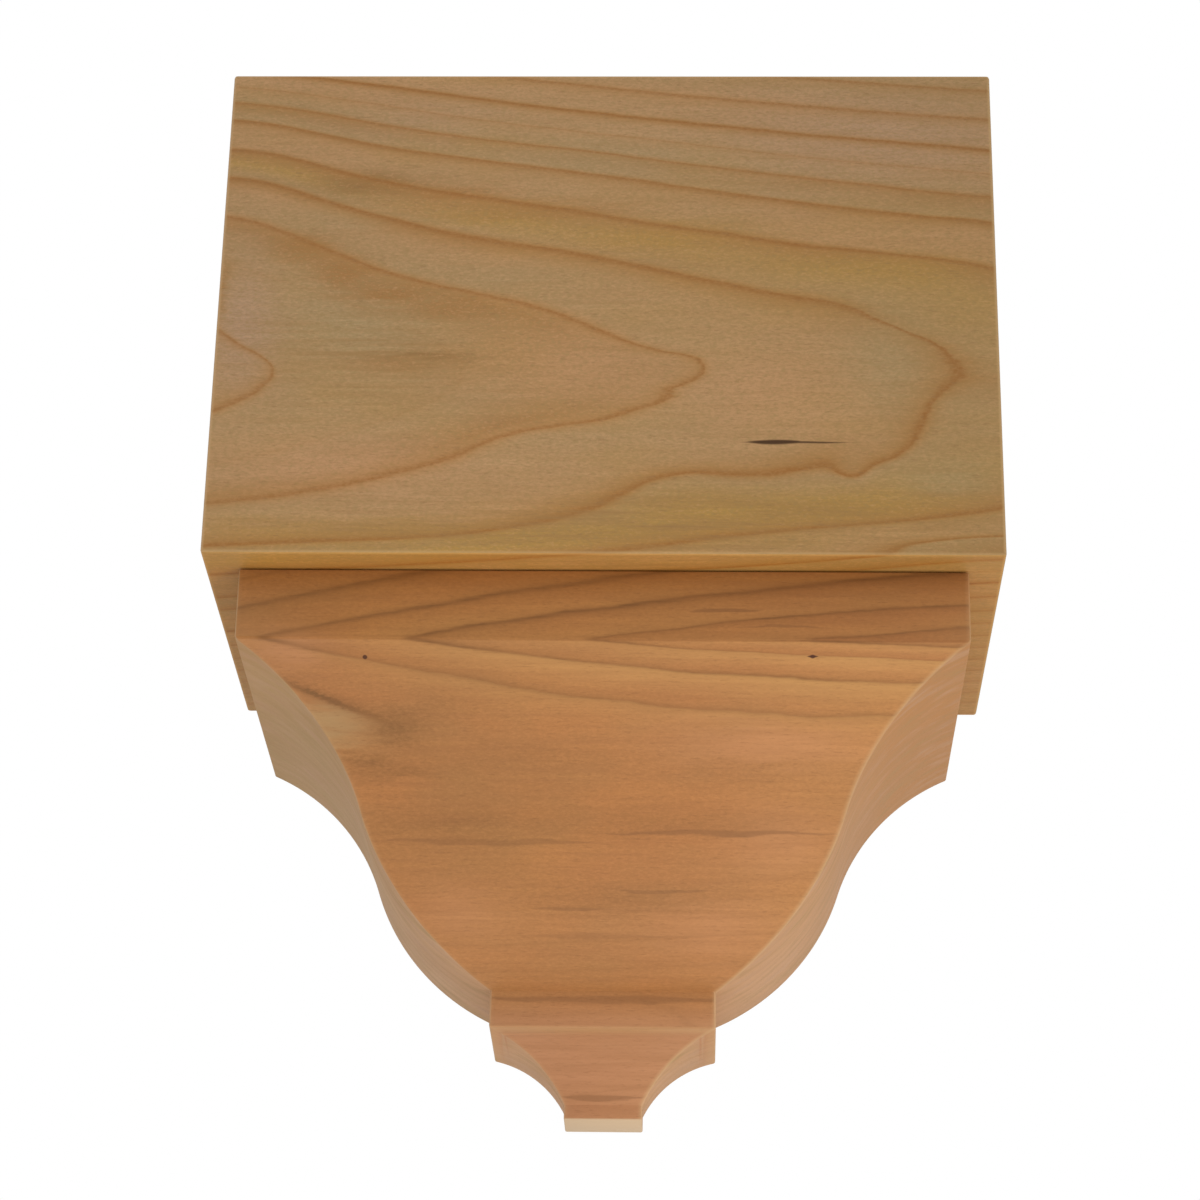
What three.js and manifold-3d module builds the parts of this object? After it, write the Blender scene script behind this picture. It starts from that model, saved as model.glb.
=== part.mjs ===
// A moulding corner block: a plain head block over a drop that is moulded on three sides and flat behind.
// Millimetres, +Z up. The flat back lies against the wall in the plane y = 0 and the front faces -Y.
// The origin is at the middle of the head block's back face.
import * as THREE from "three";
import { mergeVertices } from "three/addons/utils/BufferGeometryUtils.js";
import Module from "manifold-3d";

// Head block, a plain block with lightly eased edges
const headWidth = 133;
const headHeight = 93.5;
const headDepth = 67.5;
const headArris = 0.5;

// Where the two pieces meet
const reveal = 5.8;
const glueLine = 0.3;

// Foot, the flat end of the drop
const footWidth = 13.4;
const footDepth = 7.7;
const footHeight = 2.6;

// Mouldings of the drop, from its top down; run is how far one comes in, fall is how far it comes down
const fasciaHeight = 12.5;
const coveRun = 19.9;
const coveFall = 22.4;
const coveStartSlope = THREE.MathUtils.degToRad(24);
const bulgeFall = 24.5;
const bandHeight = 6.4;
const footCoveRun = 12.5;
const footCoveFall = 9.9;
const footCoveStartSlope = THREE.MathUtils.degToRad(12);

// Straight pieces that each quarter of a moulding's curve is drawn with
const curveSteps = 12;

// The drop stands in from the head's front and ends, and its back is flush with the head's
const dropWidth = headWidth - 2 * reveal;
const dropDepth = headDepth - reveal;
const dropHeight = fasciaHeight + coveFall + bulgeFall + bandHeight + footCoveFall + footHeight;
const dropTop = -headHeight / 2 - glueLine;

// Adds the arc that leaves the path's end at a slope below the horizontal and comes in and down by run and fall.
// Returns the slope at the arc's far end, where the next curve can go on without a corner.
function addArc(path, slope, run, fall) {
  const start = path.currentPoint.clone();
  const chordSlope = Math.atan2(fall, run);
  const turn = 2 * (chordSlope - slope);
  const radius = Math.hypot(run, fall) / (2 * Math.sin(Math.abs(turn) / 2));
  const hollow = turn > 0;
  const side = hollow ? -1 : 1;
  const centreX = start.x + side * radius * Math.sin(slope);
  const centreY = start.y + side * radius * Math.cos(slope);
  const startAngle = Math.atan2(start.y - centreY, start.x - centreX);
  path.absarc(centreX, centreY, radius, startAngle, startAngle - turn, hollow);
  return slope + turn;
}

// One moulded edge seen square on: x is how far it has come in from the fascia, y is the height below the top.
function mouldedEdge(run) {
  const edge = new THREE.Path();
  edge.moveTo(0, 0);
  edge.lineTo(0, -fasciaHeight);
  const inflectionSlope = addArc(edge, coveStartSlope, coveRun, coveFall);
  addArc(edge, inflectionSlope, run - coveRun - footCoveRun, bulgeFall);
  edge.lineTo(edge.currentPoint.x, edge.currentPoint.y - bandHeight);
  addArc(edge, footCoveStartSlope, footCoveRun, footCoveFall);
  edge.lineTo(edge.currentPoint.x, edge.currentPoint.y - footHeight);
  return edge.getPoints(curveSteps);
}

// The drop's outline from the front: the moulded edge on the right, and its mirror on the left.
function frontOutline() {
  const edge = mouldedEdge((dropWidth - footWidth) / 2);
  const right = edge.map((point) => new THREE.Vector2(dropWidth / 2 - point.x, point.y));
  const left = right.map((point) => new THREE.Vector2(-point.x, point.y));
  return new THREE.Shape([...left, ...right.reverse()]);
}

// The drop's outline from the side: the moulded edge in front, here on the right, and the flat back at x = 0.
function sideOutline() {
  const edge = mouldedEdge(dropDepth - footDepth);
  const front = edge.map((point) => new THREE.Vector2(dropDepth - point.x, point.y));
  const back = [new THREE.Vector2(0, 0), new THREE.Vector2(0, -dropHeight)];
  return new THREE.Shape([...back, ...front.reverse()]);
}

// A geometry as a solid that can be cut, with its shared corners merged.
function solidFrom(geometry) {
  geometry.deleteAttribute("normal");
  geometry.deleteAttribute("uv");
  const merged = mergeVertices(geometry);
  const vertProperties = new Float32Array(merged.getAttribute("position").array);
  const triVerts = new Uint32Array(merged.getIndex().array);
  return new wasm.Manifold(new wasm.Mesh({ numProp: 3, vertProperties, triVerts }));
}

function geometryFrom(solid) {
  const mesh = solid.getMesh();
  const geometry = new THREE.BufferGeometry();
  geometry.setAttribute("position", new THREE.BufferAttribute(mesh.vertProperties, 3));
  geometry.setIndex(new THREE.BufferAttribute(mesh.triVerts, 1));
  const faceted = geometry.toNonIndexed();
  faceted.computeVertexNormals();
  return faceted;
}

// Plan of the head with its upright edges eased, short of the full size by the width of the other edges' easing.
function headPlan() {
  const halfWidth = headWidth / 2 - headArris;
  const halfDepth = headDepth / 2 - headArris;
  const plan = new THREE.Shape();
  plan.moveTo(-halfWidth + headArris, -halfDepth);
  plan.lineTo(halfWidth - headArris, -halfDepth);
  plan.lineTo(halfWidth, -halfDepth + headArris);
  plan.lineTo(halfWidth, halfDepth - headArris);
  plan.lineTo(halfWidth - headArris, halfDepth);
  plan.lineTo(-halfWidth + headArris, halfDepth);
  plan.lineTo(-halfWidth, halfDepth - headArris);
  plan.lineTo(-halfWidth, -halfDepth + headArris);
  plan.closePath();
  return plan;
}

function headBlock() {
  const geometry = new THREE.ExtrudeGeometry(headPlan(), {
    depth: headHeight - 2 * headArris,
    bevelEnabled: true,
    bevelThickness: headArris,
    bevelSize: headArris,
    bevelSegments: 1,
  });
  geometry.translate(0, 0, headArris);
  const cherry = new THREE.MeshStandardMaterial({ color: 0xc9a87c, roughness: 0.6, metalness: 0 });
  const head = new THREE.Mesh(geometry, cherry);
  head.name = "head_block";
  head.position.set(0, -headDepth / 2, -headHeight / 2);
  return head;
}

// The two outlines are run across each other, and what they share has its mouldings mitred at the corners.
function profiledDrop() {
  const straight = { bevelEnabled: false };
  const acrossTheBlock = new THREE.ExtrudeGeometry(frontOutline(), { ...straight, depth: dropDepth });
  acrossTheBlock.rotateX(Math.PI / 2);
  const frontToBack = new THREE.ExtrudeGeometry(sideOutline(), { ...straight, depth: dropWidth });
  frontToBack.translate(0, 0, -dropWidth / 2);
  frontToBack.rotateX(Math.PI / 2);
  frontToBack.rotateZ(-Math.PI / 2);
  const mitred = solidFrom(acrossTheBlock).intersect(solidFrom(frontToBack));
  const cherry = new THREE.MeshStandardMaterial({ color: 0xc08a5a, roughness: 0.55, metalness: 0 });
  const drop = new THREE.Mesh(geometryFrom(mitred), cherry);
  drop.name = "profiled_drop";
  drop.position.set(0, 0, dropTop);
  return drop;
}

const wasm = await Module();
wasm.setup();

const cornerBlock = new THREE.Group();
cornerBlock.add(headBlock());
cornerBlock.add(profiledDrop());

export default cornerBlock;
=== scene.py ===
"""A moulding corner block in bare sanded cherry: a plain head over a drop moulded on its front and both ends."""

import math

import bmesh
import bpy
from bpy.props import FloatProperty, FloatVectorProperty, PointerProperty
from bpy.types import Operator, Panel, PropertyGroup
from mathutils import Matrix, Vector


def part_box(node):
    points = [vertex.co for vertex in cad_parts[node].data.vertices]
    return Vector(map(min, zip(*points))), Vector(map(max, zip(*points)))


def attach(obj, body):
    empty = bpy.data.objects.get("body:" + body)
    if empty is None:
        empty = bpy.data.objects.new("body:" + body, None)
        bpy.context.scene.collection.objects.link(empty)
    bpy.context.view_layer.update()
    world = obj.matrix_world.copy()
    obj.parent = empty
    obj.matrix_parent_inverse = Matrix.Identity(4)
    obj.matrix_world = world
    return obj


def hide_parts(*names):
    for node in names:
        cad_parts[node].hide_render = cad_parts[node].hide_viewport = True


bl_info = {
    "name": "Moulding corner block",
    "version": (1, 0, 0),
    "blender": (4, 5, 0),
    "location": "View3D > Sidebar > Corner block",
    "description": "Makes the head, the moulded drop and the studio of a cherry corner block",
    "category": "Object",
}

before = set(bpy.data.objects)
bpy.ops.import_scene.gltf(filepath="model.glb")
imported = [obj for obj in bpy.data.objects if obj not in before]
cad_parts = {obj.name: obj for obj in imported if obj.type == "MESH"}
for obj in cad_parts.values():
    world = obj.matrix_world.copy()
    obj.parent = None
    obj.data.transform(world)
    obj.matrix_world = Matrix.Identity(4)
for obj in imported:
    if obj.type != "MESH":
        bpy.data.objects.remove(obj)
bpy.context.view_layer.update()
HEAD_LOW, HEAD_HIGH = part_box("head_block")
DROP_LOW, DROP_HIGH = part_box("profiled_drop")

MM = 0.001
ROOT = "root"


# Sizes and colours that a user would change


class HeadSettings(PropertyGroup):
    """The head block's edges and wood."""

    arris: FloatProperty(
        name="Eased edge",
        description="Radius that the sandpaper leaves on the head's edges",
        default=0.5 * MM,
        min=0.1 * MM,
        max=3 * MM,
        unit="LENGTH",
    )
    beige: FloatVectorProperty(
        name="Beige wood",
        description="Colour of the greyish wood between the ring lines",
        default=(0.398, 0.246, 0.111),
        min=0.0,
        max=1.0,
        subtype="COLOR",
    )
    rosy: FloatVectorProperty(
        name="Rosy wood",
        description="Colour of the pinker bands",
        default=(0.463, 0.254, 0.113),
        min=0.0,
        max=1.0,
        subtype="COLOR",
    )
    yellow: FloatVectorProperty(
        name="Yellow wood",
        description="Colour of the yellow bands",
        default=(0.42, 0.24, 0.056),
        min=0.0,
        max=1.0,
        subtype="COLOR",
    )
    ring_line: FloatVectorProperty(
        name="Ring line",
        description="Colour of the thin line at the end of each year's growth",
        default=(0.285, 0.105, 0.016),
        min=0.0,
        max=1.0,
        subtype="COLOR",
    )


class DropSettings(PropertyGroup):
    """The moulded drop's edges and wood."""

    arris: FloatProperty(
        name="Eased edge",
        description="Radius that the sandpaper leaves on the mouldings' outer edges",
        default=0.3 * MM,
        min=0.1 * MM,
        max=2 * MM,
        unit="LENGTH",
    )
    orange: FloatVectorProperty(
        name="Orange wood",
        description="Colour of the lighter orange wood",
        default=(0.49, 0.212, 0.062),
        min=0.0,
        max=1.0,
        subtype="COLOR",
    )
    ruddy: FloatVectorProperty(
        name="Ruddy wood",
        description="Colour of the redder wood",
        default=(0.46, 0.185, 0.057),
        min=0.0,
        max=1.0,
        subtype="COLOR",
    )
    end_grain: FloatVectorProperty(
        name="End grain",
        description="Colour of the moulded ends",
        default=(0.445, 0.206, 0.07),
        min=0.0,
        max=1.0,
        subtype="COLOR",
    )
    ring_line: FloatVectorProperty(
        name="Ring line",
        description="Colour of the dark line at the end of each year's growth",
        default=(0.155, 0.062, 0.014),
        min=0.0,
        max=1.0,
        subtype="COLOR",
    )


class StudioSettings(PropertyGroup):
    """Camera and light."""

    lens: FloatProperty(
        name="Lens",
        description="Focal length on a 36 mm wide film",
        default=103.0,
        min=10.0,
        max=300.0,
    )
    tilt: FloatProperty(
        name="Tilt",
        description="How far the camera looks up",
        default=math.radians(24.85),
        subtype="ANGLE",
    )
    heading: FloatProperty(
        name="Heading",
        description="How far the camera turns to the left",
        default=math.radians(1.81),
        subtype="ANGLE",
    )
    roll: FloatProperty(
        name="Roll",
        description="How far the camera leans",
        default=math.radians(1.04),
        subtype="ANGLE",
    )
    key_power: FloatProperty(
        name="Key light",
        description="Power of the key light, in watts",
        default=9.0,
        min=0.0,
    )
    low_power: FloatProperty(
        name="Light from below",
        description="Power of the wide light under the block, in watts",
        default=2.0,
        min=0.0,
    )
    surround: FloatProperty(
        name="Surround",
        description="Strength of the even white light from all round",
        default=0.81,
        min=0.0,
    )


# Writing a node tree as a formula


class Sketch:
    """Adds nodes to one tree and links them, so that a material reads as a formula."""

    def __init__(self, tree):
        self.tree = tree

    def node(self, kind, **settings):
        made = self.tree.nodes.new(kind)
        for name, value in settings.items():
            setattr(made, name, value)
        return made

    def feed(self, socket, value):
        if isinstance(value, bpy.types.NodeSocket):
            self.tree.links.new(value, socket)
        elif value is not None:
            socket.default_value = value

    def math(self, operation, *values):
        made = self.node("ShaderNodeMath", operation=operation)
        for socket, value in zip(made.inputs, values):
            self.feed(socket, value)
        return made.outputs[0]

    def add(self, a, b):
        return self.math("ADD", a, b)

    def less(self, a, b):
        return self.math("SUBTRACT", a, b)

    def times(self, a, b):
        return self.math("MULTIPLY", a, b)

    def over(self, a, b):
        return self.math("DIVIDE", a, b)

    def split(self, vector):
        made = self.node("ShaderNodeSeparateXYZ")
        self.feed(made.inputs[0], vector)
        return made.outputs

    def join(self, x, y, z):
        made = self.node("ShaderNodeCombineXYZ")
        for socket, value in zip(made.inputs, (x, y, z)):
            self.feed(socket, value)
        return made.outputs[0]

    def vector(self, operation, a, b=None, scale=None):
        made = self.node("ShaderNodeVectorMath", operation=operation)
        self.feed(made.inputs[0], a)
        self.feed(made.inputs[1], b)
        if operation == "SCALE":
            self.feed(made.inputs["Scale"], scale)
        return made.outputs["Value"] if operation in ("LENGTH", "DOT_PRODUCT") else made.outputs["Vector"]

    def noise(self, vector, scale=1.0, detail=2.0, rough=0.5, output="Factor"):
        made = self.node("ShaderNodeTexNoise", noise_dimensions="3D")
        self.feed(made.inputs["Vector"], vector)
        self.feed(made.inputs["Scale"], scale)
        self.feed(made.inputs["Detail"], detail)
        self.feed(made.inputs["Roughness"], rough)
        return made.outputs[0] if output == "Factor" else made.outputs[1]

    def chance(self, value):
        made = self.node("ShaderNodeTexWhiteNoise", noise_dimensions="1D")
        self.feed(made.inputs["W"], value)
        return made.outputs["Value"]

    def remap(self, value, low, high, to_low=0.0, to_high=1.0, smooth=False):
        made = self.node("ShaderNodeMapRange", interpolation_type="SMOOTHSTEP" if smooth else "LINEAR")
        for name, given in (("Value", value), ("From Min", low), ("From Max", high)):
            self.feed(made.inputs[name], given)
        self.feed(made.inputs["To Min"], to_low)
        self.feed(made.inputs["To Max"], to_high)
        return made.outputs[0]

    def mix(self, share, a, b, blend="MIX"):
        made = self.node("ShaderNodeMix", data_type="RGBA", blend_type=blend)
        self.feed(made.inputs[0], share)
        for socket, value in ((made.inputs[6], a), (made.inputs[7], b)):
            is_plain = not isinstance(value, bpy.types.NodeSocket)
            self.feed(socket, (*value[:3], 1.0) if is_plain else value)
        return made.outputs[2]

    def curve(self, value, points):
        """A line through given points, carried on straight at both ends."""
        made = self.node("ShaderNodeFloatCurve")
        mapping = made.mapping
        mapping.extend = "EXTRAPOLATED"
        mapping.use_clip = False
        line = mapping.curves[0]
        line.points[0].location = points[0]
        line.points[-1].location = points[-1]
        for place in points[1:-1]:
            line.points.new(*place)
        for point in line.points:
            point.handle_type = "VECTOR"
        mapping.update()
        self.feed(made.inputs["Value"], value)
        return made.outputs[0]

    def ramp(self, value, stops):
        """Colours at given places from 0 to 1, blended in between."""
        made = self.node("ShaderNodeValToRGB")
        elements = made.color_ramp.elements
        while len(elements) < len(stops):
            elements.new(1.0)
        for element, (place, colour) in zip(elements, stops):
            element.position = place
            element.color = (*colour, 1.0)
        self.feed(made.inputs[0], value)
        return made.outputs[0]

    def group(self, tree, **inputs):
        made = self.node("ShaderNodeGroup", node_tree=tree)
        for name, value in inputs.items():
            self.feed(made.inputs[name.replace("_", " ")], value)
        return made.outputs


def new_group(name, inputs, outputs):
    """An empty shader node group with named sockets; returns its sketch, its inputs and its output node."""
    tree = bpy.data.node_groups.new(name, "ShaderNodeTree")
    for label, kind, default in inputs:
        socket = tree.interface.new_socket(label, in_out="INPUT", socket_type=kind)
        if default is not None:
            socket.default_value = default
    for label, kind in outputs:
        tree.interface.new_socket(label, in_out="OUTPUT", socket_type=kind)
    sketch = Sketch(tree)
    given = sketch.node("NodeGroupInput").outputs
    given = {label: given[label] for label, _, _ in inputs}
    return sketch, given, sketch.node("NodeGroupOutput")


FLOAT = "NodeSocketFloat"
VECTOR = "NodeSocketVector"

# How wide the brown tinge beside a ring line is, in mm, on the pith's side and on the bark's side
HALO_INSIDE, HALO_OUTSIDE = 1.5, 0.6
# Half the length, in mm, over which the pith's lean and bend are counted
LEAN_SPAN = 60.0


def pith_distance_group():
    """How far a point of the wood is from the tree's pith, and how steeply that changes along the surface."""
    pith = ("Pith y", "Pith z", "Lean y", "Lean z", "Bend y", "Bend z")
    inputs = [("Place", VECTOR, None)] + [(label, FLOAT, 0.0) for label in pith]
    inputs += [("Ripple", FLOAT, 0.3)]
    sketch, given, out = new_group("Distance from pith", inputs, [("Radius", FLOAT), ("Slope", FLOAT)])

    place = given["Place"]
    long_grain = sketch.vector("MULTIPLY", place, (0.3, 1.0, 1.0))
    ripple = sketch.noise(long_grain, scale=0.16, detail=4.0, rough=0.68, output="Color")
    ripple = sketch.vector("SCALE", sketch.vector("SUBTRACT", ripple, (0.5, 0.5, 0.5)), scale=given["Ripple"])
    moved = sketch.vector("ADD", place, ripple)
    x, y, z = sketch.split(moved)

    along = sketch.over(x, LEAN_SPAN)
    offsets, leans = [], []
    for axis, value in (("y", y), ("z", z)):
        lean, bend = given[f"Lean {axis}"], given[f"Bend {axis}"]
        line = sketch.add(given[f"Pith {axis}"], sketch.times(along, sketch.add(lean, sketch.times(bend, along))))
        offsets.append(sketch.less(value, line))
        turn = sketch.add(lean, sketch.times(2.0, sketch.times(bend, along)))
        leans.append(sketch.over(turn, LEAN_SPAN))
    dy, dz = offsets
    radius = sketch.math("SQRT", sketch.add(sketch.times(dy, dy), sketch.times(dz, dz)))
    out_y, out_z = sketch.over(dy, radius), sketch.over(dz, radius)
    out_x = sketch.times(-1.0, sketch.add(sketch.times(out_y, leans[0]), sketch.times(out_z, leans[1])))
    outward = sketch.join(out_x, out_y, out_z)
    normal = sketch.node("ShaderNodeNewGeometry").outputs["Normal"]
    across = sketch.vector("DOT_PRODUCT", outward, normal)
    squared = sketch.vector("DOT_PRODUCT", outward, outward)
    slope = sketch.math("SQRT", sketch.math("MAXIMUM", sketch.less(squared, sketch.times(across, across)), 0.0))
    sketch.feed(out.inputs["Radius"], radius)
    sketch.feed(out.inputs["Slope"], sketch.math("MAXIMUM", slope, 0.04))
    return sketch.tree


def growth_rings_group():
    """The dark line at the end of each ring, the place within the ring, and a tone of the ring's own."""
    inputs = [
        ("Ring", FLOAT, 0.0),
        ("Slope", FLOAT, 1.0),
        ("Spacing", FLOAT, 3.0),
        ("Sharp width", FLOAT, 0.25),
        ("Soft width", FLOAT, 0.7),
        ("Strength", FLOAT, 1.0),
        ("Fade below", FLOAT, 0.02),
        ("Seed", FLOAT, 0.0),
    ]
    outputs = [("Line", FLOAT), ("Halo", FLOAT), ("Season", FLOAT), ("Tone", FLOAT)]
    sketch, given, out = new_group("Growth rings", inputs, outputs)
    ring = given["Ring"]
    nearest = sketch.math("ROUND", ring)
    radial = sketch.times(sketch.less(ring, nearest), given["Spacing"])
    evened = sketch.math("POWER", given["Slope"], 0.8)
    distance = sketch.over(radial, evened)
    outside = sketch.math("GREATER_THAN", distance, 0.0)
    width = sketch.remap(outside, 0.0, 1.0, given["Soft width"], given["Sharp width"])
    width = sketch.times(width, sketch.add(0.35, sketch.times(0.65, given["Strength"])))
    scaled = sketch.over(distance, width)
    line = sketch.math("EXPONENT", sketch.times(-1.0, sketch.times(scaled, scaled)))
    steep = sketch.over(given["Slope"], given["Fade below"])
    clear = sketch.times(given["Strength"], sketch.remap(steep, 0.3, 1.0, smooth=True))
    sketch.feed(out.inputs["Line"], sketch.times(line, clear))
    wide = sketch.over(distance, sketch.remap(outside, 0.0, 1.0, HALO_INSIDE, HALO_OUTSIDE))
    halo = sketch.math("EXPONENT", sketch.times(-1.0, sketch.times(wide, wide)))
    sketch.feed(out.inputs["Halo"], sketch.times(halo, clear))
    sketch.feed(out.inputs["Season"], sketch.math("FRACT", ring))
    own = sketch.math("FLOOR", ring)
    sketch.feed(out.inputs["Tone"], sketch.chance(sketch.add(own, sketch.add(given["Seed"], 0.37))))
    return sketch.tree


def fibre_group():
    """The wood's fine fibres, its pores, and the slow change of colour from place to place."""
    inputs = [("Place", VECTOR, None), ("Shift", VECTOR, None)]
    outputs = [("Streaks", FLOAT), ("Pores", FLOAT), ("Flecks", FLOAT), ("Mottle", FLOAT), ("Patches", FLOAT)]
    sketch, given, out = new_group("Wood fibre", inputs, outputs)
    place = sketch.vector("ADD", given["Place"], given["Shift"])
    streaks = sketch.noise(sketch.vector("MULTIPLY", place, (0.05, 1.0, 1.0)), scale=1.1, detail=3.0, rough=0.62)
    pores = sketch.noise(sketch.vector("MULTIPLY", place, (0.16, 1.0, 1.0)), scale=3.6, detail=2.0, rough=0.6)
    flecks = sketch.noise(sketch.vector("MULTIPLY", place, (0.5, 1.0, 1.0)), scale=2.5, detail=2.0, rough=0.7)
    mottle = sketch.noise(sketch.vector("MULTIPLY", place, (0.4, 1.0, 1.0)), scale=0.09, detail=2.5, rough=0.55)
    patches = sketch.noise(sketch.vector("MULTIPLY", place, (0.6, 1.0, 1.0)), scale=0.028, detail=1.0)
    sketch.feed(out.inputs["Streaks"], streaks)
    sketch.feed(out.inputs["Pores"], sketch.remap(pores, 0.56, 0.72, smooth=True))
    sketch.feed(out.inputs["Flecks"], flecks)
    sketch.feed(out.inputs["Mottle"], mottle)
    sketch.feed(out.inputs["Patches"], patches)
    return sketch.tree


def end_grain_group():
    """1 where the surface cuts across the fibres, which run left and right, and 0 where it lies along them."""
    sketch, _, out = new_group("End grain share", [], [("Share", FLOAT)])
    normal = sketch.node("ShaderNodeNewGeometry").outputs["Normal"]
    sideways = sketch.math("ABSOLUTE", sketch.split(normal)[0])
    sketch.feed(out.inputs["Share"], sketch.remap(sideways, 0.15, 0.4, smooth=True))
    return sketch.tree


def soft_spot_group():
    """A place that fades out evenly all round: a swell in the rings, or a smear of another colour."""
    inputs = [
        ("Place", VECTOR, None),
        ("Middle", VECTOR, None),
        ("Reach", VECTOR, (1.0, 1.0, 1.0)),
        ("Rise", FLOAT, 1.0),
    ]
    sketch, given, out = new_group("Soft spot", inputs, [("Amount", FLOAT)])
    shares = sketch.vector("DIVIDE", sketch.vector("SUBTRACT", given["Place"], given["Middle"]), given["Reach"])
    squared = sketch.vector("DOT_PRODUCT", shares, shares)
    fade = sketch.math("EXPONENT", sketch.times(-1.0, squared))
    sketch.feed(out.inputs["Amount"], sketch.times(fade, given["Rise"]))
    return sketch.tree


def block_edge_group():
    """1 on the edges of an upright block with the given corners, and 0 on its faces, for paler edges: rubbed wood
    and a painted highlight.
    """
    inputs = [("Place", VECTOR, None), ("Low", VECTOR, None), ("High", VECTOR, None), ("Width", FLOAT, 0.6)]
    sketch, given, out = new_group("Block edge", inputs, [("Share", FLOAT)])
    above_low = sketch.split(sketch.vector("SUBTRACT", given["Place"], given["Low"]))
    below_high = sketch.split(sketch.vector("SUBTRACT", given["High"], given["Place"]))
    a, b, c = (sketch.math("MINIMUM", low, high) for low, high in zip(above_low, below_high))
    nearer, further = sketch.math("MINIMUM", a, b), sketch.math("MAXIMUM", a, b)
    second = sketch.math("MAXIMUM", nearer, sketch.math("MINIMUM", further, c))
    share = sketch.less(1.0, sketch.over(second, given["Width"]))
    sketch.feed(out.inputs["Share"], sketch.remap(share, 0.0, 0.7, smooth=True))
    return sketch.tree


def mitre_group():
    """1 along the two mitred edges, where the front and the end mouldings meet, and 0 away from them."""
    inputs = [("Place", VECTOR, None), ("Half width", FLOAT, 60.0), ("Front", FLOAT, -60.0), ("Width", FLOAT, 0.5)]
    sketch, given, out = new_group("Mitre", inputs, [("Share", FLOAT)])
    x, y, _ = sketch.split(given["Place"])
    from_end = sketch.less(given["Half width"], sketch.math("ABSOLUTE", x))
    from_front = sketch.less(y, given["Front"])
    distance = sketch.math("ABSOLUTE", sketch.less(from_end, from_front))
    share = sketch.remap(sketch.less(1.0, sketch.over(distance, given["Width"])), 0.0, 1.0, smooth=True)
    downwards = sketch.split(sketch.node("ShaderNodeNewGeometry").outputs["Normal"])[2]
    sketch.feed(out.inputs["Share"], sketch.times(share, sketch.remap(downwards, -0.995, -0.985)))
    return sketch.tree


def mark_group():
    """A dark mark with soft ends, long in the grain's direction, such as a mineral streak or a pin knot."""
    inputs = [
        ("Place", VECTOR, None),
        ("Middle", VECTOR, None),
        ("Reach", VECTOR, (1.0, 1.0, 1.0)),
    ]
    sketch, given, out = new_group("Mark", inputs, [("Mask", FLOAT)])
    from_middle = sketch.vector("SUBTRACT", given["Place"], given["Middle"])
    shares = sketch.vector("DIVIDE", from_middle, given["Reach"])
    x, y, z = sketch.split(shares)
    height = sketch.add(sketch.math("ABSOLUTE", z), sketch.times(y, y))
    left = sketch.less(1.0, sketch.add(sketch.times(x, x), height))
    sketch.feed(out.inputs["Mask"], sketch.remap(left, 0.0, 0.6, smooth=True))
    return sketch.tree


EFFECTS = {}


def effect(name):
    """A shared node group, built the first time that it is asked for."""
    makers = {
        "pith": pith_distance_group,
        "rings": growth_rings_group,
        "fibre": fibre_group,
        "end grain": end_grain_group,
        "mark": mark_group,
        "soft spot": soft_spot_group,
        "block edge": block_edge_group,
        "mitre": mitre_group,
    }
    if name not in EFFECTS:
        EFFECTS[name] = makers[name]()
    return EFFECTS[name]


def new_material(name):
    """A material with an empty tree but for its shader; returns it, its sketch and the shader."""
    material = bpy.data.materials.new(name)
    material.use_nodes = True
    tree = material.node_tree
    tree.nodes.clear()
    sketch = Sketch(tree)
    shader = sketch.node("ShaderNodeBsdfPrincipled")
    output = sketch.node("ShaderNodeOutputMaterial")
    tree.links.new(shader.outputs["BSDF"], output.inputs["Surface"])
    return material, sketch, shader


def place_in_mm(sketch):
    """The point's place in the wood, in millimetres, so that the figure runs through from face to face."""
    place = sketch.node("ShaderNodeTexCoord").outputs["Object"]
    return sketch.vector("SCALE", place, scale=1.0 / MM)


def ring_count(sketch, radius, ring_radii):
    """Counts rings outwards: the first of the radii is ring 0, the next ring 1, and so on, straight in between."""
    span = 100.0
    first = ring_radii[0]
    count = len(ring_radii) - 1
    points = [((r - first) / span, i / count) for i, r in enumerate(ring_radii)]
    share = sketch.over(sketch.less(radius, first), span)
    return sketch.times(sketch.curve(share, points), float(count))


# The drop's mouldings from its top down, in mm: run is how far one comes in, fall how far it comes down
FASCIA_HEIGHT = 12.5
COVE_RUN, COVE_FALL, COVE_START = 19.9, 22.4, math.radians(24)
BULGE_FALL = 24.5
BAND_HEIGHT = 6.4
FOOT_COVE_RUN, FOOT_COVE_FALL, FOOT_COVE_START = 12.5, 9.9, math.radians(12)
FOOT_WIDTH = 13.4
FOOT_HEIGHT = 2.6
CURVE_STEPS = 56

# The pith beside the head: how far it lies in front of the front face and how high, in mm, then how far it leans
# and bends to the back and upwards over the lean span, and how much the rings ripple
HEAD_PITH_AHEAD, HEAD_PITH_HEIGHT = 30.1, -14.2
HEAD_LEAN, HEAD_BEND, HEAD_RIPPLE = (-9.4, -1.75), (1.8, 0.5), 0.8
# The head's growth rings: how far each lies from the pith, in mm, and how dark its line is
HEAD_RINGS = (12.0, 19.8, 26.0, 31.4, 38.2, 44.0, 49.9, 53.5, 56.9, 60.6, 65.5, 70.4, 75.0)
HEAD_LINES = (0.6, 0.8, 0.1, 0.85, 0.95, 0.9, 0.8, 0.7, 0.35, 1.0, 0.75, 0.7, 0.6)
HEAD_RING_SPACING = 5.0
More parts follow.
